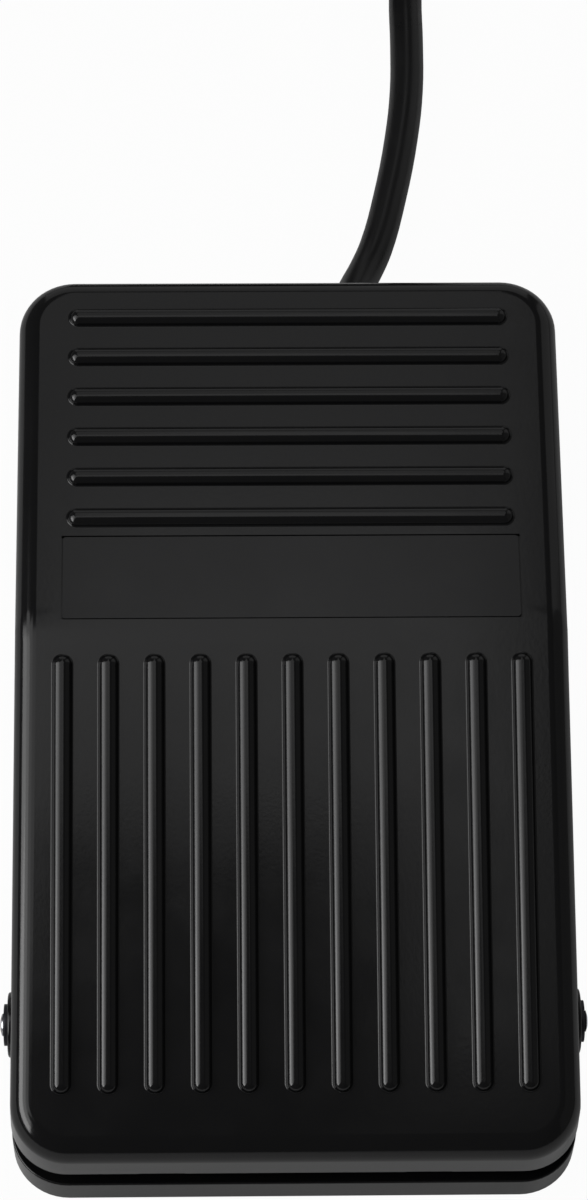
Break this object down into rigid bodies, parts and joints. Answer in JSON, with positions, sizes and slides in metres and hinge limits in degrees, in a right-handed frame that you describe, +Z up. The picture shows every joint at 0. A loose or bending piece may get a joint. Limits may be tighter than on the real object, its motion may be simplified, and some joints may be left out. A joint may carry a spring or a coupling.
{
  "type": "usb foot pedal switch",
  "caption": "Black plastic foot switch: a ribbed treadle hinged near the heel on a steel pin over a low tray, spring returned, pressing a microswitch, with a coiled cord and a plug.",
  "frame": {"origin": "on the floor under the middle of the tray, at the underside of the rubber feet", "axes": "+X to the right of the foot, +Y from the heel to the toe and the cord, +Z up"},
  "size_m": [0.0711, 0.2282, 0.0321],
  "materials": {
    "tray_plastic": "moulded black, satin",
    "treadle_plastic": "moulded black, satin gloss",
    "label_plastic": "bare dark label stock",
    "foot_rubber": "matt",
    "pin_steel": "bright drawn",
    "clip_steel": "black phosphated",
    "spring_steel": "drawn wire",
    "screw_steel": "zinc plated",
    "board_laminate": "green solder resist",
    "chip_plastic": "moulded epoxy",
    "tinned_metal": "tinned",
    "can_sleeve": "shrink sleeve",
    "white_nylon": "natural nylon",
    "switch_plastic": "dark phenolic",
    "terminal_brass": "tinned brass",
    "lever_steel": "rolled strip",
    "plunger_plastic": "red",
    "core_red": "PVC insulation",
    "core_white": "PVC insulation",
    "core_green": "PVC insulation",
    "core_black": "PVC insulation",
    "clamp_plastic": "black nylon",
    "cord_jacket": "satin black PVC",
    "plug_moulding": "satin black PVC",
    "tie_plastic": "flat black ribbon",
    "plug_steel": "nickel plated",
    "contact_gold": "gold plated"
  },
  "bodies": {
    "base": {"base_tray": "tray_plastic", "rubber_feet": "foot_rubber", "pivot_pin": "pin_steel", "retaining_clips": "clip_steel", "return_spring_left": "spring_steel", "return_spring_right": "spring_steel", "circuit_board": "board_laminate", "board_screws": "screw_steel", "controller_chip": "chip_plastic", "chip_leads": "tinned_metal", "crystal": "tinned_metal", "capacitors": "can_sleeve", "wire_connector": "white_nylon", "switch_case": "switch_plastic", "switch_terminals": "terminal_brass", "core_wire_red": "core_red", "core_wire_white": "core_white", "core_wire_green": "core_green", "core_wire_black": "core_black", "cord_clamp": "clamp_plastic", "clamp_screws": "screw_steel", "strain_relief": "plug_moulding", "cord_entry": "cord_jacket", "cord_lead": "cord_jacket", "cord_coil": "cord_jacket", "cord_tail": "cord_jacket", "cord_tie": "tie_plastic", "plug_relief": "plug_moulding", "plug_overmould": "plug_moulding", "plug_shell": "plug_steel", "plug_tongue": "white_nylon", "plug_contacts": "contact_gold"},
    "treadle": {"treadle": "treadle_plastic", "label_plate": "label_plastic"},
    "lever": {"switch_lever": "lever_steel"},
    "plunger": {"switch_plunger": "plunger_plastic"}
  },
  "joints": [
    {"name": "treadle_press", "type": "hinge", "parent": "base", "child": "treadle", "pos_m": [0, -0.0345, 0.0115], "axis": [-1, 0, 0], "range_deg": [0, 4.2], "stiffness_Nm_per_rad": 4.5, "springref_deg": -5.16, "deforming": ["return_spring_left", "return_spring_right"]},
    {"name": "lever_turn", "type": "hinge", "parent": "base", "child": "lever", "pos_m": [0, 0.007, 0.0187], "axis": [1, 0, 0], "range_deg": [0, 12.2]},
    {"name": "plunger_slide", "type": "slide", "parent": "base", "child": "plunger", "axis": [0, 0, -1], "range_m": [0, 0.0008]}
  ],
  "couplings": [
    {"joint": "lever_turn", "follows": "treadle_press", "ratio": 2.9},
    {"joint": "plunger_slide", "follows": "treadle_press", "m_per_rad": 0.0109}
  ]
}
